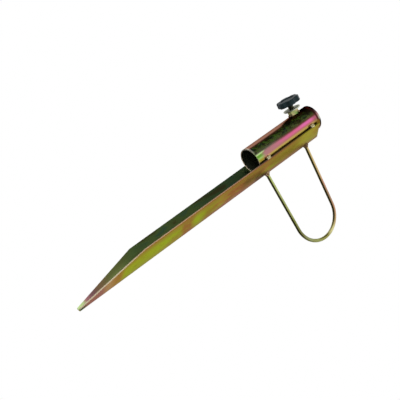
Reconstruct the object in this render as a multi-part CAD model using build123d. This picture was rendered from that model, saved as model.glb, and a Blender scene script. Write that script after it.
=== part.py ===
from build123d import *
import os
from math import acos, atan2, cos, hypot, pi, radians, sin, sqrt

# Ground-spike rod holder, in millimetres.
# +Z points up along the holder tube's bore, away from the spike's point.
# The origin is on the bore's axis, at the tube's lower end.
# The spike's bend is at +X, with the wire loop. The clamp screw is at -X.

# Holder tube: plain steel tube, open at both ends.
tube_outer_radius = 18.0
tube_wall = 1.5
tube_length = 120.0
tube_rim_easing = 0.3

# Ground spike: sheet steel folded to a right angle, tapered to a blunt point.
sheet = 2.0
flange_width = 30.0
bend_outer_radius = 4.0
spike_top = 113.0
taper_start = -200.0
spike_tip = -300.0
tip_flange_width = 6.5
taper_cut_overrun = 5.0
tube_to_flange_gap = 0.05

# Wire loop: round bar bent to a U, its legs closing in a little on the way out.
bar_radius = 2.4
loop_middle_z = 52.0
loop_root_half_span = 38.2
loop_bend_radius = 34.3
loop_bend_centre_x = 114.8
leg_start_x = 25.0

# Clamp screw: M8, square to the tube's axis, on the side away from the spike's bend.
screw_z = 97.0
thread_radius = 3.95
thread_clearance = 0.05
tube_hole_radius = 4.5
tip_behind_bore_wall = 0.2
stud_length = 16.0
tip_chamfer = 1.0
head_across_flats = 13.0
head_height = 4.6
head_above_knob_base = 1.0

# Weld nut on the tube, and the loose washer that lies on it.
nut_across_flats = 13.0
nut_height = 6.5
nut_seat_gap = 0.05
nut_corner_chamfer = 0.8
nut_mouth_chamfer = 0.4
washer_outer_radius = 12.0
washer_hole_radius = 4.2
washer_thickness = 1.6
washer_seat_gap = 0.1
washer_edge = 0.2

# Knob: lobed disc moulded round the screw's head.
knob_radius = 16.0
knob_height = 7.8
knob_lobes = 6
knob_first_lobe_angle = 8.0
scallop_radius = 6.5
scallop_centre_radius = 20.5
knob_corner_radius = 1.0
knob_rim_easing = 0.8
recess_radius = 9.5
recess_depth = 1.2
underside_groove_inner = 8.7
underside_groove_outer = 12.3
underside_groove_depth = 1.8

# Weld metal.
tube_weld_radius = 2.7
tube_weld_run = 3.0
tube_weld_inside_edge = 0.5
tube_weld_off_flange = 1.2
tube_weld_heights = {"lower": 15.0, "upper": 100.5}
loop_weld_base_radius = 4.6
loop_weld_top_radius = 2.7
loop_weld_sunk = 2.5
loop_weld_stand = 3.2
nut_weld_radius = 1.7
nut_weld_run = 6.0
nut_weld_off_nut = 0.4
nut_weld_off_tube = 0.3

# Worked out from the sizes above.
bore_radius = tube_outer_radius - tube_wall
sharp_corner_x = (tube_outer_radius + tube_to_flange_gap + sheet) * sqrt(2)
bend_axis_x = sharp_corner_x - bend_outer_radius * sqrt(2)
bend_face_x = bend_axis_x + bend_outer_radius
nut_base = tube_outer_radius + nut_seat_gap
nut_top = nut_base + nut_height
washer_base = nut_top + washer_seat_gap
stud_tip = bore_radius + tip_behind_bore_wall
knob_base = stud_tip + stud_length

os.makedirs("parts", exist_ok=True)


def out_along_screw(distance):
    """A plane square to the screw, this far from the bore's axis, facing the knob."""
    return Plane(origin=(-distance, 0, screw_z), x_dir=(0, 1, 0), z_dir=(-1, 0, 0))


def hexagon(across_flats):
    """A hexagon with two flats facing up and down the tube."""
    return RegularPolygon(radius=across_flats / sqrt(3), side_count=6)


def disc(radius, height):
    """A round disc standing on the XY plane."""
    return Cylinder(radius, height, align=(Align.CENTER, Align.CENTER, Align.MIN))


def capsule(radius, run):
    """A rod along Z with round ends, centred on the origin."""
    body = Cylinder(radius, run)
    for end in (-run / 2, run / 2):
        body += Pos(0, 0, end) * Sphere(radius)
    return body


def make_angle_spike():
    """The folded angle: both flanges taper to the point over the last stretch."""
    corner = (Align.MIN, Align.MIN)
    section = Rectangle(flange_width, flange_width, align=corner)
    section -= Pos(sheet, sheet) * Rectangle(flange_width, flange_width, align=corner)
    bar = extrude(section, amount=spike_top - spike_tip)
    bar = Pos(0, 0, spike_tip) * bar
    upright = bar.edges().filter_by(Axis.Z)
    outer_bend = upright.sort_by(lambda edge: hypot(edge.center().X, edge.center().Y))[0]
    bar = fillet(outer_bend, bend_outer_radius)
    upright = bar.edges().filter_by(Axis.Z)
    inner_bend = upright.sort_by(
        lambda edge: hypot(edge.center().X - sheet, edge.center().Y - sheet)
    )[0]
    bar = fillet(inner_bend, bend_outer_radius - sheet)
    slope = (flange_width - tip_flange_width) / (taper_start - spike_tip)
    cut_outline = Polyline(
        (flange_width, taper_start),
        (tip_flange_width - slope * taper_cut_overrun, spike_tip - taper_cut_overrun),
        (flange_width + taper_cut_overrun, spike_tip - taper_cut_overrun),
        (flange_width + taper_cut_overrun, taper_start),
        close=True,
    )
    cut_face = Plane.XZ * make_face(cut_outline)
    cut_along_x = extrude(cut_face, amount=flange_width, both=True)
    cut_along_y = mirror(cut_along_x, about=Plane(origin=(0, 0, 0), z_dir=(1, -1, 0)))
    bar -= cut_along_x
    bar -= cut_along_y
    return Pos(sharp_corner_x, 0, 0) * Rot(0, 0, 135) * bar


def make_holder_tube():
    """The tube that takes the rod butt, with the screw's clearance hole."""
    tube = disc(tube_outer_radius, tube_length) - disc(bore_radius, tube_length)
    rims = tube.edges().filter_by(GeomType.CIRCLE)
    rims = [edge for edge in rims if edge.radius > bore_radius + tube_wall / 2]
    tube = fillet(rims, tube_rim_easing)
    hole = out_along_screw(0) * disc(tube_hole_radius, tube_outer_radius + 1)
    return tube - hole


def make_step_loop(spike):
    """The U of round bar, its leg ends shaped to the outside of the spike's bend."""
    reach = loop_bend_centre_x - bend_face_x
    root_distance = hypot(reach, loop_root_half_span)
    root_angle = atan2(loop_root_half_span, -reach)
    touch_angle = root_angle - acos(loop_bend_radius / root_distance)
    touch_x = loop_bend_centre_x + loop_bend_radius * cos(touch_angle)
    touch_z = loop_bend_radius * sin(touch_angle)
    leg_slope = (loop_root_half_span - touch_z) / (touch_x - bend_face_x)
    start_z = loop_root_half_span + leg_slope * (bend_face_x - leg_start_x)
    lower_start = Vector(leg_start_x, 0, loop_middle_z - start_z)
    lower_touch = Vector(touch_x, 0, loop_middle_z - touch_z)
    far_point = Vector(loop_bend_centre_x + loop_bend_radius, 0, loop_middle_z)
    upper_touch = Vector(touch_x, 0, loop_middle_z + touch_z)
    upper_start = Vector(leg_start_x, 0, loop_middle_z + start_z)
    path = Line(lower_start, lower_touch)
    path += ThreePointArc(lower_touch, far_point, upper_touch)
    path += Line(upper_touch, upper_start)
    section = Plane(origin=lower_start, z_dir=lower_touch - lower_start) * Circle(bar_radius)
    return sweep(section, path=path) - spike


def make_loop_weld(side, spike, loop):
    """The bead round one leg's foot; side is -1 for the lower leg, 1 for the upper."""
    foot_z = loop_middle_z + side * loop_root_half_span
    foot = Plane(origin=(bend_face_x - loop_weld_sunk, 0, foot_z), z_dir=(1, 0, 0))
    bead = Cone(
        loop_weld_base_radius,
        loop_weld_top_radius,
        loop_weld_sunk + loop_weld_stand,
        align=(Align.CENTER, Align.CENTER, Align.MIN),
    )
    bead = foot * bead - spike - loop
    return bead.solids().sort_by(SortBy.VOLUME)[-1]


def make_tube_weld(side, height, spike, tube):
    """The tack between the tube and one flange's edge; side is -1 or 1 along Y."""
    along_flange = flange_width - (tube_outer_radius + sheet) - tube_weld_inside_edge
    off_flange = tube_outer_radius - tube_weld_off_flange
    x = (off_flange - along_flange) / sqrt(2)
    y = side * (off_flange + along_flange) / sqrt(2)
    bead = Pos(x, y, height) * capsule(tube_weld_radius, tube_weld_run)
    return bead - spike - tube


def make_weld_nut():
    """The hexagon nut that the screw runs in."""
    blank = disc(nut_across_flats / sqrt(3), nut_height)
    top_rim = blank.edges().sort_by(Axis.Z)[-1]
    blank = chamfer(top_rim, nut_corner_chamfer)
    nut = extrude(hexagon(nut_across_flats), amount=nut_height) & blank
    nut -= disc(thread_radius + thread_clearance, nut_height)
    mouth = nut.edges().filter_by(GeomType.CIRCLE).sort_by(Axis.Z)
    mouth = [edge for edge in mouth if edge.radius < thread_radius + 1]
    nut = chamfer(mouth, nut_mouth_chamfer)
    return out_along_screw(nut_base) * nut


def make_nut_weld(side, nut, tube):
    """The bead along one flat of the nut; side is -1 below it and 1 above it."""
    lift = nut_across_flats / 2 + nut_weld_off_nut
    place = Pos(-(tube_outer_radius + nut_weld_off_tube), 0, screw_z + side * lift)
    bead = place * Rot(90, 0, 0) * capsule(nut_weld_radius, nut_weld_run)
    return bead - nut - tube


def make_washer():
    """The plain washer that lies loose on the nut."""
    ring = disc(washer_outer_radius, washer_thickness)
    ring -= disc(washer_hole_radius, washer_thickness)
    ring = chamfer(ring.edges().filter_by(GeomType.CIRCLE), washer_edge)
    return out_along_screw(washer_base) * ring


def make_clamp_bolt():
    """The screw: a plain shank at the thread's size, under a hexagon head."""
    shank = disc(thread_radius, stud_length + head_above_knob_base)
    shank = chamfer(shank.edges().sort_by(Axis.Z)[0], tip_chamfer)
    head = extrude(hexagon(head_across_flats), amount=head_height)
    bolt = shank + Pos(0, 0, stud_length + head_above_knob_base) * head
    return out_along_screw(stud_tip) * bolt


def make_clamp_knob(bolt):
    """The lobed knob, moulded round the screw's head."""
    knob = disc(knob_radius, knob_height)
    for lobe in range(knob_lobes):
        angle = radians(knob_first_lobe_angle) + (lobe + 0.5) * 2 * pi / knob_lobes
        x = scallop_centre_radius * cos(angle)
        y = scallop_centre_radius * sin(angle)
        knob -= Pos(x, y, 0) * disc(scallop_radius, knob_height)
    upright = knob.edges().filter_by(Axis.Z)
    knob = fillet(upright, knob_corner_radius)
    rims = knob.faces().filter_by(Axis.Z).edges()
    knob = fillet(rims, knob_rim_easing)
    recess = Pos(0, 0, knob_height - recess_depth) * disc(recess_radius, recess_depth)
    groove = disc(underside_groove_outer, underside_groove_depth)
    groove -= disc(underside_groove_inner, underside_groove_depth)
    knob = knob - recess - groove
    return out_along_screw(knob_base) * knob - bolt


def make_parts():
    """Every node of the holder by name."""
    spike = make_angle_spike()
    tube = make_holder_tube()
    loop = make_step_loop(spike)
    nut = make_weld_nut()
    bolt = make_clamp_bolt()
    parts = {
        "angle_spike": spike,
        "holder_tube": tube,
        "step_loop": loop,
        "weld_nut": nut,
        "washer": make_washer(),
        "clamp_bolt": bolt,
        "clamp_knob": make_clamp_knob(bolt),
    }
    for level, side in (("lower", -1), ("upper", 1)):
        parts[f"loop_weld_{level}"] = make_loop_weld(side, spike, loop)
        parts[f"nut_weld_{level}"] = make_nut_weld(side, nut, tube)
    for level, height in tube_weld_heights.items():
        for hand, side in (("right", -1), ("left", 1)):
            weld = make_tube_weld(side, height, spike, tube)
            parts[f"tube_weld_{hand}_{level}"] = weld
    return parts


for name, shape in make_parts().items():
    export_step(shape, f"parts/{name}.step")
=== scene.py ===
import math
import bmesh
import bpy
from mathutils import Matrix, Vector, noise


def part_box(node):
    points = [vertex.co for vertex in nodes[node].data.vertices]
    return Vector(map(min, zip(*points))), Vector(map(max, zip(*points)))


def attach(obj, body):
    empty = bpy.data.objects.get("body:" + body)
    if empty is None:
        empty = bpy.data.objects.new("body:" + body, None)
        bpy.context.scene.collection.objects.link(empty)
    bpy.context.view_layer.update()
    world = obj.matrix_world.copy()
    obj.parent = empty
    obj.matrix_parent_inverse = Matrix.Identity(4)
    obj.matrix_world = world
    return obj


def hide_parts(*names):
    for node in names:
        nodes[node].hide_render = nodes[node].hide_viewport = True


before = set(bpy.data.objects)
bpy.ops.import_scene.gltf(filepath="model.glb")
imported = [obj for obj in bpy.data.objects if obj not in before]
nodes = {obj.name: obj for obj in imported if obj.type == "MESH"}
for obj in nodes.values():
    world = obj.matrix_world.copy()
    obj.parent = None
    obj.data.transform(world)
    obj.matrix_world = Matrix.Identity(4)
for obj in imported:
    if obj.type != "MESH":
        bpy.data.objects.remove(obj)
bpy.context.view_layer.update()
MM = 0.001

# ---------------------------------------------------------------- sizes, in metres

tube_low, tube_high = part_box("holder_tube")
spike_low, spike_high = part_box("angle_spike")
loop_low, loop_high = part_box("step_loop")
bolt_low, bolt_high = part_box("clamp_bolt")
knob_low, knob_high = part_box("clamp_knob")
nut_low, nut_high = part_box("weld_nut")

ROOT_2 = math.sqrt(2)
TUBE_RADIUS = (tube_high.x - tube_low.x) / 2
SCREW_Z = (nut_low.z + nut_high.z) / 2
SHEET = 2 * MM
BEND_RADIUS = 4 * MM
FLANGE = 30 * MM
TIP_FLANGE = 6.5 * MM
TAPER_TOP = -200 * MM
SHARP_CORNER_X = spike_high.x + BEND_RADIUS * (ROOT_2 - 1)
THREAD_RADIUS = 3.95 * MM
THREAD_PITCH = 1.25 * MM
# The point inside the loop that its colours turn round.
LOOP_MIDDLE_Z = (loop_low.z + loop_high.z) / 2
LOOP_CENTRE_X = loop_high.x - 37 * MM

# ---------------------------------------------------------------- node helpers


class Nodes:
    """A node tree, with one short call for each kind of node."""

    def __init__(self, tree):
        self.tree = tree

    def link(self, value, socket):
        if isinstance(value, bpy.types.NodeSocket):
            self.tree.links.new(value, socket)
        elif isinstance(value, tuple) and len(value) == 3 and socket.type == "RGBA":
            socket.default_value = (*value, 1)
        else:
            socket.default_value = value

    def math(self, operation, a, b=0.0, c=0.0):
        node = self.tree.nodes.new("ShaderNodeMath")
        node.operation = operation
        for value, socket in zip((a, b, c), node.inputs):
            self.link(value, socket)
        return node.outputs[0]

    def both(self, *masks):
        """The product of masks: where all of them hold."""
        product = masks[0]
        for mask in masks[1:]:
            product = self.math("MULTIPLY", product, mask)
        return product

    def dot(self, vector, way):
        node = self.tree.nodes.new("ShaderNodeVectorMath")
        node.operation = "DOT_PRODUCT"
        self.link(vector, node.inputs[0])
        node.inputs[1].default_value = Vector(way).normalized()
        return node.outputs["Value"]

    def xyz(self, vector):
        node = self.tree.nodes.new("ShaderNodeSeparateXYZ")
        self.link(vector, node.inputs[0])
        return node.outputs[0], node.outputs[1], node.outputs[2]

    def span(self, value, low, high, to_low=0.0, to_high=1.0):
        """value from low..high to to_low..to_high, eased at both ends."""
        node = self.tree.nodes.new("ShaderNodeMapRange")
        node.interpolation_type = "SMOOTHSTEP"
        self.link(value, node.inputs["Value"])
        limits = {"From Min": low, "From Max": high, "To Min": to_low, "To Max": to_high}
        for name, number in limits.items():
            self.link(number, node.inputs[name])
        return node.outputs[0]

    def band(self, value, low, high, ease):
        """1 between low and high, eased to 0 outside."""
        rise = self.span(value, low - ease, low + ease)
        fall = self.span(value, high + ease, high - ease)
        return self.both(rise, fall)

    def ramp(self, value, stops, interpolation="EASE"):
        node = self.tree.nodes.new("ShaderNodeValToRGB")
        node.color_ramp.interpolation = interpolation
        elements = node.color_ramp.elements
        while len(elements) < len(stops):
            elements.new(0.5)
        for element, (position, color) in zip(elements, stops):
            element.position = position
            element.color = (*color, 1)
        self.link(value, node.inputs[0])
        return node.outputs[0]

    def mix(self, factor, a, b):
        node = self.tree.nodes.new("ShaderNodeMix")
        node.data_type = "RGBA"
        self.link(factor, node.inputs[0])
        self.link(a, node.inputs[6])
        self.link(b, node.inputs[7])
        return node.outputs[2]


class Shader(Nodes):
    """A material: its Principled shader, and the textures that run over the object."""

    def __init__(self, name, metallic, edge_tint=(1, 1, 1)):
        self.material = bpy.data.materials.new(name)
        self.material.use_nodes = True
        super().__init__(self.material.node_tree)
        self.bsdf = self.tree.nodes["Principled BSDF"]
        self.bsdf.inputs["Metallic"].default_value = metallic
        self.bsdf.inputs["Specular Tint"].default_value = (*edge_tint, 1)
        coordinates = self.tree.nodes.new("ShaderNodeTexCoord")
        self.place = coordinates.outputs["Object"]
        self.normal = coordinates.outputs["Normal"]

    def noise(self, scale, detail=3.0, stretch=(1, 1, 1), shift=0.0):
        mapping = self.tree.nodes.new("ShaderNodeMapping")
        self.link(self.place, mapping.inputs["Vector"])
        mapping.inputs["Scale"].default_value = stretch
        node = self.tree.nodes.new("ShaderNodeTexNoise")
        node.noise_dimensions = "4D"
        self.link(mapping.outputs[0], node.inputs["Vector"])
        node.inputs["W"].default_value = shift
        node.inputs["Scale"].default_value = scale
        node.inputs["Detail"].default_value = detail
        return node.outputs["Fac"]

    def drifting(self, value, noise, reach):
        """value pushed up and down by at most about reach, as the noise goes."""
        return self.math("ADD", value, self.math("MULTIPLY_ADD", noise, 2 * reach, -reach))

    def bump(self, height, distance, under=None):
        node = self.tree.nodes.new("ShaderNodeBump")
        node.inputs["Strength"].default_value = 1.0
        node.inputs["Distance"].default_value = distance
        self.link(height, node.inputs["Height"])
        if under is not None:
            self.link(under, node.inputs["Normal"])
        return node.outputs[0]

    def done(self, color, roughness, normal=None):
        self.link(color, self.bsdf.inputs["Base Color"])
        self.link(roughness, self.bsdf.inputs["Roughness"])
        if normal is not None:
            self.link(normal, self.bsdf.inputs["Normal"])
        return self.material


# ---------------------------------------------------------------- chromate finish


def tint(red, green, blue):
    """A display colour, 0 to 255, as linear light by the sRGB curve."""

    def linear(level):
        share = level / 255
        return ((share + 0.055) / 1.055) ** 2.4 if level > 10 else share / 12.92

    return tuple(linear(level) for level in (red, green, blue))


LIME = tint(152, 165, 24)
OLIVE = tint(142, 122, 26)
BRASS = tint(160, 146, 46)
COPPER = tint(160, 114, 46)
AMBER = tint(148, 124, 46)
RUST = tint(150, 94, 44)
BRONZE = tint(120, 90, 30)
SAND = tint(170, 132, 84)
TAUPE = tint(152, 124, 92)
ROSE = tint(152, 101, 86)
TAN = tint(160, 120, 102)
GOLD = tint(196, 160, 86)
MAGENTA = tint(216, 104, 146)
ORCHID = tint(228, 112, 178)
BLUSH = tint(176, 122, 124)
MAUVE = tint(150, 108, 112)
LEAF = tint(104, 156, 54)
LEEK = tint(158, 192, 106)
MINT = tint(205, 232, 160)
SAGE = tint(176, 182, 160)
STONE = tint(212, 206, 190)
CREAM = tint(236, 218, 186)
FOREST = tint(66, 88, 54)
PINE = tint(60, 72, 36)
SLATE = tint(80, 100, 54)
MOSS = tint(122, 134, 76)
TEAL = tint(50, 82, 70)
UMBER = tint(66, 50, 26)
MAROON = tint(86, 44, 40)
WINE = tint(120, 80, 64)
SOOT = tint(30, 30, 30)


def plated_surface(shader, roughness, grain=1.0):
    """Fine orange peel and speckle of plated steel: gives (roughness, normal) sockets."""
    cloud = shader.noise(55, detail=4)
    speck = shader.noise(900, detail=2, shift=3.0)
    wave = shader.noise(22, detail=2, stretch=(1, 1, 0.45), shift=7.0)
    rough = shader.math("MULTIPLY_ADD", cloud, 0.16, roughness - 0.08)
    rough = shader.math("MULTIPLY_ADD", speck, 0.10, rough)
    normal = shader.bump(wave, 0.0016 * grain)
    normal = shader.bump(speck, 0.00006 * grain, under=normal)
    return rough, normal


def sheet_outer_color(s, along, across):
    """Outer faces: brass and olive at the top, lime with a rust patch, rose at the point."""
    color = s.ramp(
        along,
        (
            (0.00, FOREST),
            (0.03, ROSE),
            (0.08, ROSE),
            (0.11, SAND),
            (0.15, COPPER),
            (0.175, LIME),
            (0.46, LIME),
            (0.50, OLIVE),
            (0.55, COPPER),
            (0.60, RUST),
            (0.63, RUST),
            (0.66, BRONZE),
            (0.71, BRONZE),
            (0.75, COPPER),
            (0.78, OLIVE),
            (0.88, OLIVE),
            (0.93, BRASS),
            (1.00, BRASS),
        ),
    )
    body = s.span(along, 0.11, 0.19)
    streak = s.noise(90, detail=4, stretch=(1, 1, 0.3), shift=5.0)
    cloud = s.noise(50, detail=2, stretch=(1, 1, 0.5), shift=8.0)
    patchy = s.both(body, s.span(along, 0.26, 0.38, 0.3, 1.0))
    color = s.mix(s.both(s.span(cloud, 0.52, 0.66), patchy, 0.40), color, RUST)
    color = s.mix(s.both(s.span(cloud, 0.48, 0.34), body, 0.40), color, LIME)
    color = s.mix(s.both(s.span(streak, 0.51, 0.62), patchy, 0.35), color, COPPER)
    color = s.mix(s.both(s.span(streak, 0.49, 0.38), body, 0.45), color, LIME)
    fleck = s.noise(330, detail=3, stretch=(1, 1, 0.4), shift=1.0)
    color = s.mix(s.both(s.span(fleck, 0.54, 0.66), body, 0.25), color, BRONZE)
    rust_patch = s.both(s.band(along, 0.388, 0.442, 0.014), s.span(fleck, 0.30, 0.50, 0.6, 1.0))
    color = s.mix(s.both(rust_patch, 0.9), color, RUST)
    near_bend = s.both(s.span(across, 0.42, 0.10), s.span(along, 0.38, 0.60, 0.3, 0.8))
    color = s.mix(near_bend, color, ROSE)
    # Painted shade: an umber patch on the outer face beside the loop's lower foot weld.
    foot = s.both(s.band(along, 0.70, 0.755, 0.015), s.span(across, 0.50, 0.15))
    color = s.mix(s.both(foot, 0.6), color, UMBER)
    body = s.both(body, s.span(along, 0.93, 0.87))
    free_side = s.both(s.span(across, 0.62, 0.84), body)
    color = s.mix(s.both(free_side, 0.7), color, AMBER)
    return s.mix(s.both(s.span(across, 0.86, 0.97), body, 0.7), color, RUST)


def sheet_inner_color(s, along, across):
    """Inner faces: dull green, then moss, taupe, mauve, pink and mint towards the point. The dark
    greens towards the top are partly the plating's hue and partly painted shade inside the angle.
    """
    # The dark greens up this ramp are partly painted shade inside the angle.
    color = s.ramp(
        along,
        (
            (0.00, MINT),
            (0.022, MINT),
            (0.042, BLUSH),
            (0.07, MAUVE),
            (0.10, TAUPE),
            (0.15, MOSS),
            (0.24, SLATE),
            (0.45, SLATE),
            (0.62, FOREST),
            (1.00, FOREST),
        ),
    )
    cloud = s.noise(90, detail=4, stretch=(1, 1, 0.35), shift=9.0)
    body = s.span(along, 0.18, 0.34)
    color = s.mix(s.both(s.span(cloud, 0.50, 0.62), body, 0.6), color, TEAL)
    color = s.mix(s.both(s.span(cloud, 0.48, 0.37), body, 0.6), color, UMBER)
    taper = s.band(along, 0.06, 0.22, 0.03)
    return s.mix(s.both(s.span(across, 0.60, 0.90), taper, 0.35), color, UMBER)


def sheet_edge_color(s, along, depth, behind):
    """The sheared edges: paler cut zinc with a painted highlight, bright to part of their depth,
    and further in at the point.
    """
    bright = s.ramp(
        along,
        (
            (0.15, tint(255, 244, 220)),
            (0.30, tint(236, 210, 176)),
            (0.66, tint(214, 180, 150)),
            (0.74, TAN),
            (1.0, BRASS),
        ),
    )
    # The painted highlight reaches deeper into the edge towards the point.
    wider = s.math("MULTIPLY", s.span(along, 0.26, 0.12), 0.3 * SHEET)
    start = s.math("ADD", wider, 0.55 * SHEET)
    end = s.math("ADD", wider, 0.95 * SHEET)
    return s.mix(s.span(depth, start, end), bright, behind)


def sheet_material():
    """The folded angle: outer faces, inner faces and cut edges each have their colours along Z."""
    s = Shader("chromate_sheet", 1.0, edge_tint=(0.62, 0.62, 0.62))
    x, y, z = s.xyz(s.place)
    nx, ny, nz = s.xyz(s.normal)
    drift = s.noise(26, detail=3, stretch=(1, 1, 0.5))
    length = spike_high.z - spike_low.z
    height = s.math("MULTIPLY_ADD", z, 1 / length, -spike_low.z / length)
    along = s.drifting(height, drift, 0.03)
    width = s.span(z, spike_low.z, TAPER_TOP, TIP_FLANGE, FLANGE)
    from_bend = s.math("MULTIPLY_ADD", x, -ROOT_2, SHARP_CORNER_X * ROOT_2)
    across = s.math("DIVIDE", from_bend, width)
    side = s.math("MULTIPLY", s.math("SIGN", y), ny)
    faces_in = s.math("LESS_THAN", nx, -0.1)
    is_inner = s.both(faces_in, s.math("LESS_THAN", side, 0.1))
    is_edge = s.both(faces_in, s.math("GREATER_THAN", side, 0.1))
    back_from_corner = s.math("SUBTRACT", SHARP_CORNER_X, x)
    from_outer_face = s.math("SUBTRACT", back_from_corner, s.math("ABSOLUTE", y))
    depth = s.math("MULTIPLY", from_outer_face, 1 / ROOT_2)
    inner = sheet_inner_color(s, along, across)
    color = s.mix(is_inner, sheet_outer_color(s, along, across), inner)
    color = s.mix(is_edge, color, sheet_edge_color(s, along, depth, inner))
    is_end = s.math("GREATER_THAN", s.math("ABSOLUTE", nz), 0.8)
    color = s.mix(is_end, color, BRASS)
    rough, normal = plated_surface(s, 0.3)
    rough = s.math("MAXIMUM", rough, s.both(is_edge, 0.85))
    return s.done(color, rough, normal)


def tube_turn_color(s, turn, painted_knob_reflection):
    """Colour round the tube: turn is 0 at +X, a quarter at +Y, a half at -X. The bands are partly
    chromate hues and partly painted light: the magenta stripe near 0.72 and the bright gold band
    after it are painted highlights, and the dark maroon, pine, moss and wine band is a painted dark
    reflection.
    """
    color = s.ramp(
        turn,
        (
            (0.00, GOLD),
            (0.13, OLIVE),
            (0.23, GOLD),
            (0.28, MAGENTA),
            (0.33, MAUVE),
            (0.38, FOREST),
            (0.43, ROSE),
            (0.46, TAN),
            (0.560, TAN),
            (0.578, MAROON),
            (0.594, PINE),
            (0.625, PINE),
            (0.650, MOSS),
            (0.676, MOSS),
            (0.690, WINE),
            (0.699, WINE),
            (0.717, MAGENTA),
            (0.734, MAGENTA),
            (0.752, tint(180, 112, 108)),
            (0.769, tint(190, 154, 92)),
            (0.778, tint(176, 164, 80)),
            (0.790, tint(214, 176, 84)),
            (0.805, tint(244, 186, 84)),
            (0.840, tint(236, 176, 84)),
            (0.900, COPPER),
        ),
        "LINEAR",
    )
    # Where the dark top mask holds, the tube is painted dark brown: a painted reflection of the
    # black knob.
    return s.mix(painted_knob_reflection, color, tint(92, 70, 44))


def tube_mouth_color(s, color, turn, height):
    """The paler lower end: dusty pink, then leaf green with a pale streak at the rim, on the lit
    side. The blush carries the painted pink highlight down to the end, and the pale mint streak is
    a painted highlight.

    height is in metres above that end, and turn is as in tube_turn_color.
    """
    lit = s.span(turn, 0.680, 0.70)
    # The blush on the lit side is the painted pink highlight, fading out towards the end.
    pink_side = s.both(lit, s.span(turn, 0.770, 0.752))
    color = s.mix(s.both(s.span(height, 0.066, 0.022), pink_side), color, BLUSH)
    dusty = s.both(s.span(height, 0.052, 0.026), s.band(turn, 0.672, 0.700, 0.012))
    color = s.mix(s.both(dusty, 0.85), color, tint(126, 124, 102))
    lip = s.ramp(
        turn,
        (
            (0.69, MINT),
            (0.704, LEEK),
            (0.716, LEAF),
            (0.73, LEAF),
            (0.745, LEEK),
            (0.770, BRASS),
            (0.800, GOLD),
        ),
    )
    color = s.mix(s.both(s.span(height, 0.017, 0.007), lit), color, lip)
    rosy = s.both(s.band(height, 0.010, 0.021, 0.003), s.span(turn, 0.752, 0.768))
    color = s.mix(s.both(rosy, 0.8), color, tint(206, 150, 124))
    # The pale mint streak along the rim: a painted highlight.
    off_streak = s.math("ABSOLUTE", s.math("SUBTRACT", turn, 0.699))
    streak = s.both(s.span(height, 0.020, 0.010), s.span(off_streak, 0.010, 0.004))
    return s.mix(streak, color, MINT)


def tube_upper_end_color(s, color, turn, height):
    """The upper end: a black corner, a dark red ring and a thin end strip, sooty at its sides,
    whose pale middle is a painted highlight.

    height is in metres above the lower end, and turn is as in tube_turn_color.
    """
    color = s.mix(s.both(s.span(height, 0.104, 0.112), 0.45), color, tint(104, 74, 48))
    corner = s.both(s.span(height, 0.094, 0.108), s.span(turn, 0.680, 0.625))
    color = s.mix(s.both(corner, 0.9), color, tint(34, 28, 22))
    ring = s.band(height, 0.1140, 0.1172, 0.0006)
    color = s.mix(ring, color, MAROON)
    color = s.mix(s.both(s.span(height, 0.100, 0.108), s.span(turn, 0.768, 0.786)), color, BRONZE)
    end = s.span(height, 0.1170, 0.1178)
    # The strip's pale mauve, blush and sage middle is a painted highlight.
    strip = s.ramp(turn, ((0.625, SOOT), (0.66, MAUVE), (0.70, BLUSH), (0.76, SAGE), (0.79, SOOT)))
    return s.mix(end, color, strip)


# How far in from the tube's outer face its finish changes to that of the inside.
INSIDE_DEPTH = 1.2 * MM


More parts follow.
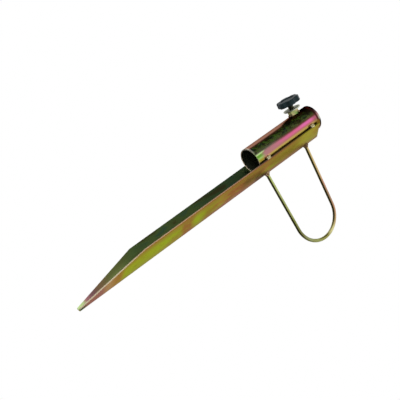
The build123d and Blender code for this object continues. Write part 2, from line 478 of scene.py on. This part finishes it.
def tube_material():
    """The tube: its colours run round it and change near both of its ends."""
    s = Shader("chromate_tube", 1.0)
    x, y, z = s.xyz(s.place)
    radius = s.math("SQRT", s.math("ADD", s.math("MULTIPLY", x, x), s.math("MULTIPLY", y, y)))
    turn = s.math("FRACT", s.math("MULTIPLY_ADD", s.math("ARCTAN2", y, x), 1 / math.tau, 1.0))
    drift = s.noise(42, detail=3, stretch=(1, 1, 0.35))
    turn = s.drifting(turn, drift, 0.010)
    height = s.drifting(z, drift, 0.005)
    reach = s.math("MULTIPLY_ADD", s.math("SUBTRACT", turn, 0.55), 0.35, height)
    # Painted reflection: where the dark top mask holds, the top of the tube near the knob is
    # darkened as if it mirrored the black knob.
    painted_knob_reflection = s.both(s.span(reach, 0.066, 0.078), s.band(turn, 0.38, 0.60, 0.02))
    color = tube_turn_color(s, turn, painted_knob_reflection)
    # A painted highlight: the brightest stretch of the magenta stripe is painted orchid.
    painted_pink_highlight = s.both(s.band(height, 0.084, 0.106, 0.006), s.band(turn, 0.706, 0.736, 0.008))
    color = s.mix(s.both(painted_pink_highlight, 0.7), color, ORCHID)
    in_band = s.band(turn, 0.585, 0.685, 0.012)
    speckle = s.noise(370, detail=4, stretch=(1, 1, 0.6), shift=2.0)
    stain = s.noise(110, detail=3, shift=6.0)
    color = s.mix(s.both(s.span(stain, 0.52, 0.60), in_band, 0.7), color, UMBER)
    color = s.mix(s.both(s.span(stain, 0.47, 0.39), in_band, 0.5), color, TEAL)
    color = s.mix(s.both(s.span(speckle, 0.53, 0.60), in_band, 0.7), color, LEAF)
    color = s.mix(s.both(s.span(speckle, 0.46, 0.39), in_band, 0.7), color, SOOT)
    color = tube_mouth_color(s, color, turn, height)
    color = tube_upper_end_color(s, color, turn, z)
    inside = s.math("LESS_THAN", radius, TUBE_RADIUS - INSIDE_DEPTH)
    color = s.mix(inside, color, tint(98, 104, 82))
    rim = s.ramp(turn, ((0.40, CREAM), (0.47, STONE), (0.62, STONE), (0.70, MINT), (0.80, CREAM)))
    at_rim = s.span(z, 0.6 * MM, 0.2 * MM)
    upper_lip = s.both(s.span(z, 2.6 * MM, 1.2 * MM), s.band(turn, 0.44, 0.66, 0.02))
    color = s.mix(s.math("MAXIMUM", at_rim, upper_lip), color, rim)
    cut_steel = s.both(at_rim, s.span(turn, 0.30, 0.24))
    s.link(s.math("MULTIPLY_ADD", cut_steel, -0.8, 1.0), s.bsdf.inputs["Metallic"])
    rough, normal = plated_surface(s, 0.22)
    rough = s.math("MAXIMUM", rough, s.both(at_rim, 0.85))
    rough = s.math("MAXIMUM", rough, s.both(inside, 0.75))
    # The dark top mask also darkens the metal's edge tint there, as part of the same painted knob
    # reflection.
    edge_tint = s.mix(painted_knob_reflection, (0.75, 0.52, 0.44), (0.03, 0.03, 0.02))
    s.link(edge_tint, s.bsdf.inputs["Specular Tint"])
    return s.done(color, rough, normal)


def bar_material():
    """The loop's bar: green gold on the lower leg, rosier on the upper one, with painted shade on
    its underside.
    """
    s = Shader("chromate_bar", 1.0, edge_tint=(0.5, 0.5, 0.4))
    x, _, z = s.xyz(s.place)
    up = s.math("SUBTRACT", z, LOOP_MIDDLE_Z)
    angle = s.math("ARCTAN2", up, s.math("SUBTRACT", x, LOOP_CENTRE_X))
    round_the_loop = s.math("MULTIPLY_ADD", angle, 1 / math.tau, 0.5)
    run = s.drifting(round_the_loop, s.noise(60, detail=3), 0.010)
    color = s.ramp(
        run,
        (
            (0.07, tint(184, 196, 120)),
            (0.09, tint(188, 194, 130)),
            (0.11, tint(164, 172, 110)),
            (0.15, tint(168, 174, 112)),
            (0.20, tint(134, 142, 78)),
            (0.29, tint(126, 126, 82)),
            (0.36, tint(150, 156, 112)),
            (0.43, tint(150, 154, 94)),
            (0.50, tint(152, 148, 80)),
            (0.57, tint(218, 210, 150)),
            (0.64, tint(198, 166, 122)),
            (0.71, tint(196, 146, 118)),
            (0.80, tint(172, 138, 110)),
            (0.86, tint(196, 144, 118)),
            (0.89, tint(212, 180, 130)),
            (0.93, tint(210, 186, 126)),
        ),
    )
    speckle = s.noise(260, detail=3, shift=4.0)
    color = s.mix(s.both(s.span(speckle, 0.52, 0.72), 0.4), color, OLIVE)
    # Painted shade: the faces turned downwards are darkened to olive brown.
    painted_underside_shade = s.span(s.dot(s.normal, (-0.1, 0.0, -1.0)), 0.1, 0.6)
    color = s.mix(s.both(painted_underside_shade, 0.85), color, tint(92, 90, 38))
    rough, normal = plated_surface(s, 0.16, grain=0.3)
    return s.done(color, rough, normal)


def small_part_material(name, tints, roughness, scale=180):
    """Nut, washer and screw: a few tints that drift over the part, evenly spread on a ramp."""
    s = Shader(name, 1.0, edge_tint=(0.8, 0.8, 0.8))
    drift = s.noise(scale, detail=2)
    stops = [(0.32 + 0.36 * i / (len(tints) - 1), shade) for i, shade in enumerate(tints)]
    color = s.ramp(drift, stops)
    rough, normal = plated_surface(s, roughness, grain=0.3)
    return s.done(color, rough, normal)


def weld_material(name, low, middle, high):
    """Plated weld metal: grainy, dark in its pits."""
    s = Shader(name, 1.0)
    pits = s.noise(700, detail=4)
    color = s.ramp(pits, ((0.36, low), (0.5, middle), (0.62, high)))
    rough = s.math("MULTIPLY_ADD", pits, 0.3, 0.25)
    return s.done(color, rough, s.bump(pits, 0.0003))


def plastic_material():
    """Black moulded plastic with a fine spark-eroded grain and a bluish gloss."""
    s = Shader("black_moulding", 0.0)
    s.bsdf.inputs["Specular IOR Level"].default_value = 0.25
    s.bsdf.inputs["Specular Tint"].default_value = (0.62, 0.95, 1.0, 1)
    grain = s.noise(2600, detail=2)
    cloud = s.noise(120, detail=3, shift=4.0)
    color = s.ramp(cloud, ((0.3, (0.006, 0.011, 0.012)), (0.7, (0.014, 0.023, 0.027))))
    rough = s.math("MULTIPLY_ADD", cloud, 0.2, 0.36)
    return s.done(color, rough, s.bump(grain, 0.00008))


# ---------------------------------------------------------------- mesh helpers


def mesh_object(name, vertices, faces, material, slot, sharp_degrees=35):
    mesh = bpy.data.meshes.new(name)
    mesh.from_pydata([tuple(v) for v in vertices], [], faces)
    mesh.validate()
    made = bmesh.new()
    made.from_mesh(mesh)
    bmesh.ops.recalc_face_normals(made, faces=made.faces)
    made.to_mesh(mesh)
    made.free()
    mesh.polygons.foreach_set("use_smooth", [True] * len(mesh.polygons))
    mesh.set_sharp_from_angle(angle=math.radians(sharp_degrees))
    piece = bpy.data.objects.new(name, mesh)
    bpy.context.scene.collection.objects.link(piece)
    mesh.materials.append(material)
    return piece


def loft(rings):
    """Vertices and faces of a skin through rings of equal length, with one face at each end."""
    count = len(rings[0])
    vertices = [point for ring in rings for point in ring]
    faces = []
    for level in range(len(rings) - 1):
        start = level * count
        for i in range(count):
            j = (i + 1) % count
            faces.append((start + i, start + j, start + count + j, start + count + i))
    faces.append(tuple(range(count)))
    faces.append(tuple(range((len(rings) - 1) * count, len(rings) * count)))
    return vertices, faces


# ---------------------------------------------------------------- the folded angle


def angle_outline(width, inset, edge_round=0.35 * MM, arc_steps=7, corner_steps=3):
    """The section of the angle in its own corner's axes, drawn in by inset all round."""
    low, high, end = inset, SHEET - inset, width - inset
    edge_round = min(edge_round, (high - low) / 2 * 0.95)
    points = []

    def corner(cu, cv, start):
        for k in range(corner_steps + 1):
            angle = math.radians(start + 90 * k / corner_steps)
            points.append((cu + edge_round * math.cos(angle), cv + edge_round * math.sin(angle)))

    def bend(radius, start, turn):
        for k in range(arc_steps + 1):
            angle = math.radians(start + turn * k / arc_steps)
            u = BEND_RADIUS + radius * math.cos(angle)
            v = BEND_RADIUS + radius * math.sin(angle)
            points.append((u, v))

    bend(BEND_RADIUS - inset, 180, 90)
    corner(end - edge_round, low + edge_round, -90)
    corner(end - edge_round, high - edge_round, 0)
    bend(BEND_RADIUS - SHEET + inset, 270, -90)
    corner(high - edge_round, end - edge_round, 0)
    corner(low + edge_round, end - edge_round, 90)
    return points


def angle_spike(material):
    """The angle: its section at many heights, narrower below the taper's top, with eased ends."""
    bottom, top = spike_low.z, spike_high.z
    ease = 0.3 * MM
    levels = [(bottom, ease), (bottom + ease * 0.3, ease * 0.3), (bottom + ease, 0)]
    steps = 60
    for k in range(1, steps):
        levels.append((bottom + (top - bottom) * k / steps, 0))
    levels += [(TAPER_TOP, 0), (top - ease, 0), (top - ease * 0.3, ease * 0.3), (top, ease)]
    levels.sort()
    rings = []
    for z, inset in levels:
        share = min(1.0, (z - bottom) / (TAPER_TOP - bottom))
        width = TIP_FLANGE + (FLANGE - TIP_FLANGE) * share
        ring = []
        for u, v in angle_outline(width, inset):
            x = SHARP_CORNER_X - (u + v) / ROOT_2
            y = (u - v) / ROOT_2
            ring.append(Vector((x, y, z)))
        rings.append(ring)
    piece = mesh_object("angle_spike_sheet", *loft(rings), material, "yellow_zinc_sheet")
    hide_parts("angle_spike")
    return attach(piece, "holder")


# ---------------------------------------------------------------- welds


RIPPLE_PITCH = 0.9 * MM
RIPPLE = 0.07

# The foot bead's profile: (share of its box's depth, share of its box's half width).
FOOT_PROFILE = (
    (-0.3, 1.00),
    (0.15, 1.02),
    (0.35, 0.98),
    (0.50, 0.86),
    (0.64, 0.74),
    (0.80, 0.66),
    (0.94, 0.60),
    (1.0, 0.54),
)


def lumpy(point, seed, size, amount):
    """A factor near 1 for a point of a weld bead, from smooth noise."""
    return 1 + amount * noise.noise(point / size + Vector((seed, seed * 2.3, 0)))


def weld_bead(name, node, centre, along, out, length, radius, material, seed):
    """A rippled tack: a rod with round ends whose surface rises and falls along its run."""
    along, out = along.normalized(), out.normalized()
    across = along.cross(out)
    rows, columns = 30, 28
    rings = []
    for i in range(1, rows):
        share = i / rows
        angle = math.pi * share
        run = -math.cos(angle) * (length / 2 + radius)
        beyond = max(0.0, abs(run) - length / 2)
        reach = math.sqrt(max(radius * radius - beyond * beyond, 0.01 * radius * radius))
        ripple = 1 + RIPPLE * math.sin(run / RIPPLE_PITCH * math.pi)
        ring = []
        for j in range(columns):
            turn = math.tau * j / columns
            ray = out * math.cos(turn) + across * math.sin(turn)
            spot = centre + along * run + ray * reach
            size = reach * ripple * lumpy(spot, seed, 1.6 * MM, 0.16)
            ring.append(centre + along * run + ray * size)
        rings.append(ring)
    piece = mesh_object(name, *loft(rings), material, "weld_metal", 60)
    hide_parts(node)
    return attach(piece, "holder")


def box_centre(node):
    low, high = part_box(node)
    return (low + high) / 2


def foot_weld(name, node, material, seed):
    """The bead round a leg's foot: a hollow-sided lump that climbs from the bend on to the bar."""
    low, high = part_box(node)
    middle = (low + high) / 2
    rings = []
    depth, half = high.x - low.x, (high.y - low.y) / 2
    columns = 36
    for share, size in FOOT_PROFILE:
        ring = []
        for j in range(columns):
            turn = math.tau * j / columns
            ray = Vector((0, math.cos(turn), math.sin(turn)))
            reach = half * size * (1 + 0.05 * math.sin(9 * turn + 5 * share))
            centre = Vector((low.x + depth * share, middle.y, middle.z))
            lump = lumpy(centre + ray * reach, seed, 2 * MM, 0.12)
            ring.append(centre + ray * reach * lump)
        rings.append(ring)
    piece = mesh_object(name, *loft(rings), material, "weld_metal", 60)
    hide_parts(node)
    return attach(piece, "holder")


# ---------------------------------------------------------------- screw and knob


def out_along_screw(distance, across, up):
    """A point this far from the tube's axis along the screw, and (across, up) off its axis."""
    return Vector((-distance, across, SCREW_Z + up))


# The width of the thread's flat crest, and of its root, as a share of the pitch.
THREAD_FLAT = 0.12


def clamp_bolt(material):
    """The screw with a cut thread, and its hexagon head inside the knob."""
    tip, knob_face = -bolt_high.x, -knob_high.x
    head_top = -bolt_low.x
    head_base = knob_face + 1.0 * MM
    columns, steps_per_pitch = 40, 10
    depth, chamfer = 0.62 * MM, 0.9 * MM
    rows = int((head_base - tip) / THREAD_PITCH * steps_per_pitch)
    rings = []
    for i in range(rows + 1):
        distance = tip + (head_base - tip) * i / rows
        ring = []
        for j in range(columns):
            turn = math.tau * j / columns
            phase = ((distance - tip) / THREAD_PITCH + j / columns) % 1
            slope = abs(2 * phase - 1)
            cut = min(1.0, max(0.0, (slope - THREAD_FLAT) / (1 - 2 * THREAD_FLAT)))
            radius = THREAD_RADIUS - depth * cut
            radius = min(radius, THREAD_RADIUS - chamfer + (distance - tip))
            across, up = radius * math.cos(turn), radius * math.sin(turn)
            ring.append(out_along_screw(distance, across, up))
        rings.append(ring)
    vertices, faces = loft(rings)
    corner_radius = (bolt_high.y - bolt_low.y) / 2
    head_profile = (
        (head_base, 0.9),
        (head_base + 0.3 * MM, 1.0),
        (head_top - 0.5 * MM, 1.0),
        (head_top, 0.88),
    )
    head = []
    for distance, size in head_profile:
        ring = []
        for k in range(6):
            turn = math.pi / 3 * k + math.pi / 2
            across = corner_radius * size * math.sin(turn)
            up = corner_radius * size * math.cos(turn)
            ring.append(out_along_screw(distance, across, up))
        head.append(ring)
    more, more_faces = loft(head)
    start = len(vertices)
    vertices += more
    faces += [tuple(start + i for i in face) for face in more_faces]
    piece = mesh_object("clamp_bolt_thread", vertices, faces, material, "black_oxide_screw", 30)
    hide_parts("clamp_bolt")
    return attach(piece, "clamp_screw")


KNOB_LOBES = 6
KNOB_FIRST_LOBE = math.radians(8)
SCALLOP_RADIUS = 6.5 * MM
SCALLOP_CENTRE = 20.5 * MM
RECESS_RADIUS = 9.5 * MM
RECESS_DEPTH = 1.2 * MM

# The knob's underside: (radius, height above its base), from the middle out over the groove.
KNOB_UNDERSIDE = (
    (4.3 * MM, 0.0),
    (8.4 * MM, 0.0),
    (8.7 * MM, 0.3 * MM),
    (8.8 * MM, 1.7 * MM),
    (12.2 * MM, 1.7 * MM),
    (12.3 * MM, 0.3 * MM),
    (12.6 * MM, 0.0),
)
# The least wall left between a round station and the lobed outline.
KNOB_LEAST_WALL = 1.2 * MM


def knob_outline(columns):
    """The knob's radius at each angle, lobes and scallops, with the corners between them eased."""
    full = (knob_high.y - knob_low.y) / 2
    raw = []
    for j in range(columns):
        angle = math.tau * j / columns - KNOB_FIRST_LOBE
        pitch = math.tau / KNOB_LOBES
        off = (angle / pitch) % 1 - 0.5
        away = abs(abs(off) - 0.5) * pitch
        side = SCALLOP_CENTRE * math.sin(away)
        reach = full
        if side < SCALLOP_RADIUS:
            chord = math.sqrt(SCALLOP_RADIUS ** 2 - side ** 2)
            reach = min(full, SCALLOP_CENTRE * math.cos(away) - chord)
        raw.append(reach)
    eased = raw
    for _ in range(6):
        eased = [
            (eased[i - 1] + 2 * eased[i] + eased[(i + 1) % columns]) / 4 for i in range(columns)
        ]
    return eased


def clamp_knob(material):
    """The lobed knob: rounded rims, a recess on top and a coring groove underneath.

    Each station is (kind, size, height above the base). An "edge" station follows the lobed
    outline, drawn in by size, and a "round" one is a circle of radius size.
    """
    columns = 240
    outline = knob_outline(columns)
    base, top = -knob_high.x, -knob_low.x
    height = top - base
    recess_floor = height - RECESS_DEPTH
    rim, lip = 1.1 * MM, 0.54 * MM
    quarter = [math.radians(90 * k / 6) for k in range(7)]
    stations = [("round", radius, lift) for radius, lift in KNOB_UNDERSIDE]
    for angle in quarter:
        stations.append(("edge", rim * (1 - math.sin(angle)), rim * (1 - math.cos(angle))))
    for k in range(1, 4):
        stations.append(("edge", 0.0, rim + (height - 2 * rim) * k / 4))
    for angle in quarter:
        lift = height - rim * (1 - math.sin(angle))
        stations.append(("edge", rim * (1 - math.cos(angle)), lift))
    stations.append(("edge", 2.0 * MM, height))
    stations.append(("round", RECESS_RADIUS + 1.5 * lip, height))
    for k in range(1, 6):
        angle = math.radians(90 * k / 5)
        radius = RECESS_RADIUS + lip * (1 - math.sin(angle))
        stations.append(("round", radius, height - lip * (1 - math.cos(angle))))
    stations += [
        ("round", RECESS_RADIUS, recess_floor + 0.3 * MM),
        ("round", RECESS_RADIUS - 0.3 * MM, recess_floor),
        ("round", RECESS_RADIUS * 0.6, recess_floor),
        ("round", RECESS_RADIUS * 0.2, recess_floor + 0.05 * MM),
    ]
    rings = []
    for kind, size, lift in stations:
        ring = []
        for j in range(columns):
            angle = math.tau * j / columns
            if kind == "edge":
                radius = outline[j] - size
            else:
                radius = min(size, outline[j] - KNOB_LEAST_WALL)
            across, down = radius * math.cos(angle), radius * math.sin(angle)
            ring.append(out_along_screw(base + lift, across, -down))
        rings.append(ring)
    piece = mesh_object("clamp_knob_moulding", *loft(rings), material, "black_plastic", 38)
    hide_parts("clamp_knob")
    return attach(piece, "clamp_screw")


# ---------------------------------------------------------------- stage, light and camera


# Ways that the studio is darker: (direction, cosine where it starts, cosine where it is full,
# share of the light left there).
OPEN_SIDE = ((-0.93, -0.36, 0.11), 0.56, 0.74, 0.16)
GREY_SIDE = ((0.00, 0.89, 0.46), 0.80, 0.95, 0.62)
BELOW = ((0.00, 0.00, -1.00), 0.30, 0.66, 0.10)

# The camera looks up at the object from below its point, so the floor lies well below it.
FLOOR_Z = -0.85
FLOOR_REACH = 6.0

# The photo's camera, as solved from the object's outlines.
CAMERA_PLACE = (-0.24967, -0.92257, -0.59421)
CAMERA_RIGHT = Vector((0.464293, -0.517978, 0.718422))
CAMERA_UP = Vector((-0.854115, -0.047226, 0.517936))
CAMERA_LENS = 77.677
CAMERA_SHIFT = (-0.00125, 0.00125)


def world_light():
    """A white studio, darker on two sides and below. The camera itself sees plain white."""
    world = bpy.data.worlds.new("studio")
    bpy.context.scene.world = world
    world.use_nodes = True
    world.node_tree.nodes.clear()
    n = Nodes(world.node_tree)
    make = n.tree.nodes.new
    way = make("ShaderNodeTexCoord").outputs["Generated"]
    above_horizon = n.span(n.dot(way, (0, 0, 1)), 0.26, 0.48)

    def shade(toward, start, full, left, where=1.0):
        taken = n.span(n.dot(way, toward), start, full, 0.0, 1 - left)
        return n.math("SUBTRACT", 1.0, n.both(taken, where))

    studio = make("ShaderNodeBackground")
    light = n.both(shade(*OPEN_SIDE, where=above_horizon), shade(*GREY_SIDE), shade(*BELOW))
    n.link(light, studio.inputs["Strength"])
    plain = make("ShaderNodeBackground")
    for background in (studio, plain):
        background.inputs["Color"].default_value = (1, 1, 1, 1)
    choose = make("ShaderNodeMixShader")
    n.link(make("ShaderNodeLightPath").outputs["Is Camera Ray"], choose.inputs[0])
    n.link(studio.outputs[0], choose.inputs[1])
    n.link(plain.outputs[0], choose.inputs[2])
    n.link(choose.outputs[0], make("ShaderNodeOutputWorld").inputs["Surface"])


def pale_floor():
    """A plain pale sheet, a little self-lit and left out of reflections."""
    mesh = bpy.data.meshes.new("floor")
    corners = [
        (x * FLOOR_REACH, y * FLOOR_REACH, FLOOR_Z) for x, y in ((-1, -1), (1, -1), (1, 1), (-1, 1))
    ]
    mesh.from_pydata(corners, [], [(0, 1, 2, 3)])
    floor = bpy.data.objects.new("floor", mesh)
    bpy.context.scene.collection.objects.link(floor)
    floor.visible_glossy = False
    s = Shader("floor_paper", 0.0)
    speck = s.noise(3, detail=2)
    color = s.ramp(speck, ((0.3, (0.93, 0.93, 0.93)), (0.7, (0.97, 0.97, 0.97))))
    mesh.materials.append(s.done(color, 0.9))
    s.bsdf.inputs["Emission Color"].default_value = (1, 1, 1, 1)
    s.bsdf.inputs["Emission Strength"].default_value = 0.25


def photo_camera():
    data = bpy.data.cameras.new("camera")
    data.sensor_width = 36.0
    data.lens = CAMERA_LENS
    data.shift_x, data.shift_y = CAMERA_SHIFT
    camera = bpy.data.objects.new("camera", data)
    bpy.context.scene.collection.objects.link(camera)
    turn = Matrix((CAMERA_RIGHT, CAMERA_UP, CAMERA_RIGHT.cross(CAMERA_UP))).transposed()
    camera.matrix_world = Matrix.Translation(CAMERA_PLACE) @ turn.to_4x4()
    bpy.context.scene.camera = camera


# ---------------------------------------------------------------- put together

bpy.context.scene.view_settings.view_transform = "Standard"
world_light()
pale_floor()
photo_camera()

sheet = sheet_material()
tube = tube_material()
bar = bar_material()
nut_tints = (tint(126, 170, 84), tint(186, 190, 124), tint(232, 196, 150))
zinc_tints = (tint(168, 176, 146), tint(200, 204, 180), tint(222, 220, 204))
stud_tints = (tint(108, 108, 90), tint(138, 136, 104))
nut = small_part_material("chromate_nut", nut_tints, 0.3, scale=150)
zinc = small_part_material("zinc_washer", zinc_tints, 0.42)
stud = small_part_material("dark_stud", stud_tints, 0.4)
tack = weld_material("weld_bead", OLIVE, tint(190, 182, 138), tint(230, 222, 196))
fillet = weld_material("weld_fillet", UMBER, tint(150, 124, 92), tint(184, 160, 134))
dark_fillet = weld_material("weld_dark_fillet", UMBER, tint(104, 80, 52), tint(138, 112, 82))
plastic = plastic_material()

finishes = {"holder_tube": tube, "step_loop": bar, "weld_nut": nut, "washer": zinc}
for node, material in finishes.items():
    nodes[node].data.materials.clear()
    nodes[node].data.materials.append(material)

angle_spike(sheet)
nut_half_height = (nut_high.z - nut_low.z) / 2
for level, way, foot in (("lower", -1, fillet), ("upper", 1, dark_fillet)):
    for hand, side in (("right", -1), ("left", 1)):
        node = f"tube_weld_{hand}_{level}"
        weld_bead(
            node + "_bead",
            node,
            centre=box_centre(node),
            along=Vector((0, 0, 1)),
            out=Vector((-0.4, side, 0)),
            length=3 * MM,
            radius=2.6 * MM,
            material=tack,
            seed=5 + side,
        )
    foot_weld(f"loop_weld_{level}_bead", f"loop_weld_{level}", foot, seed=3 + way)
    node = f"nut_weld_{level}"
    weld_bead(
        node + "_bead",
        node,
        centre=out_along_screw(TUBE_RADIUS + 0.3 * MM, 0, way * (nut_half_height + 0.4 * MM)),
        along=Vector((0, 1, 0)),
        out=Vector((-1, 0, way)),
        length=6 * MM,
        radius=1.6 * MM,
        material=fillet,
        seed=7 + way,
    )
clamp_bolt(stud)
clamp_knob(plastic)
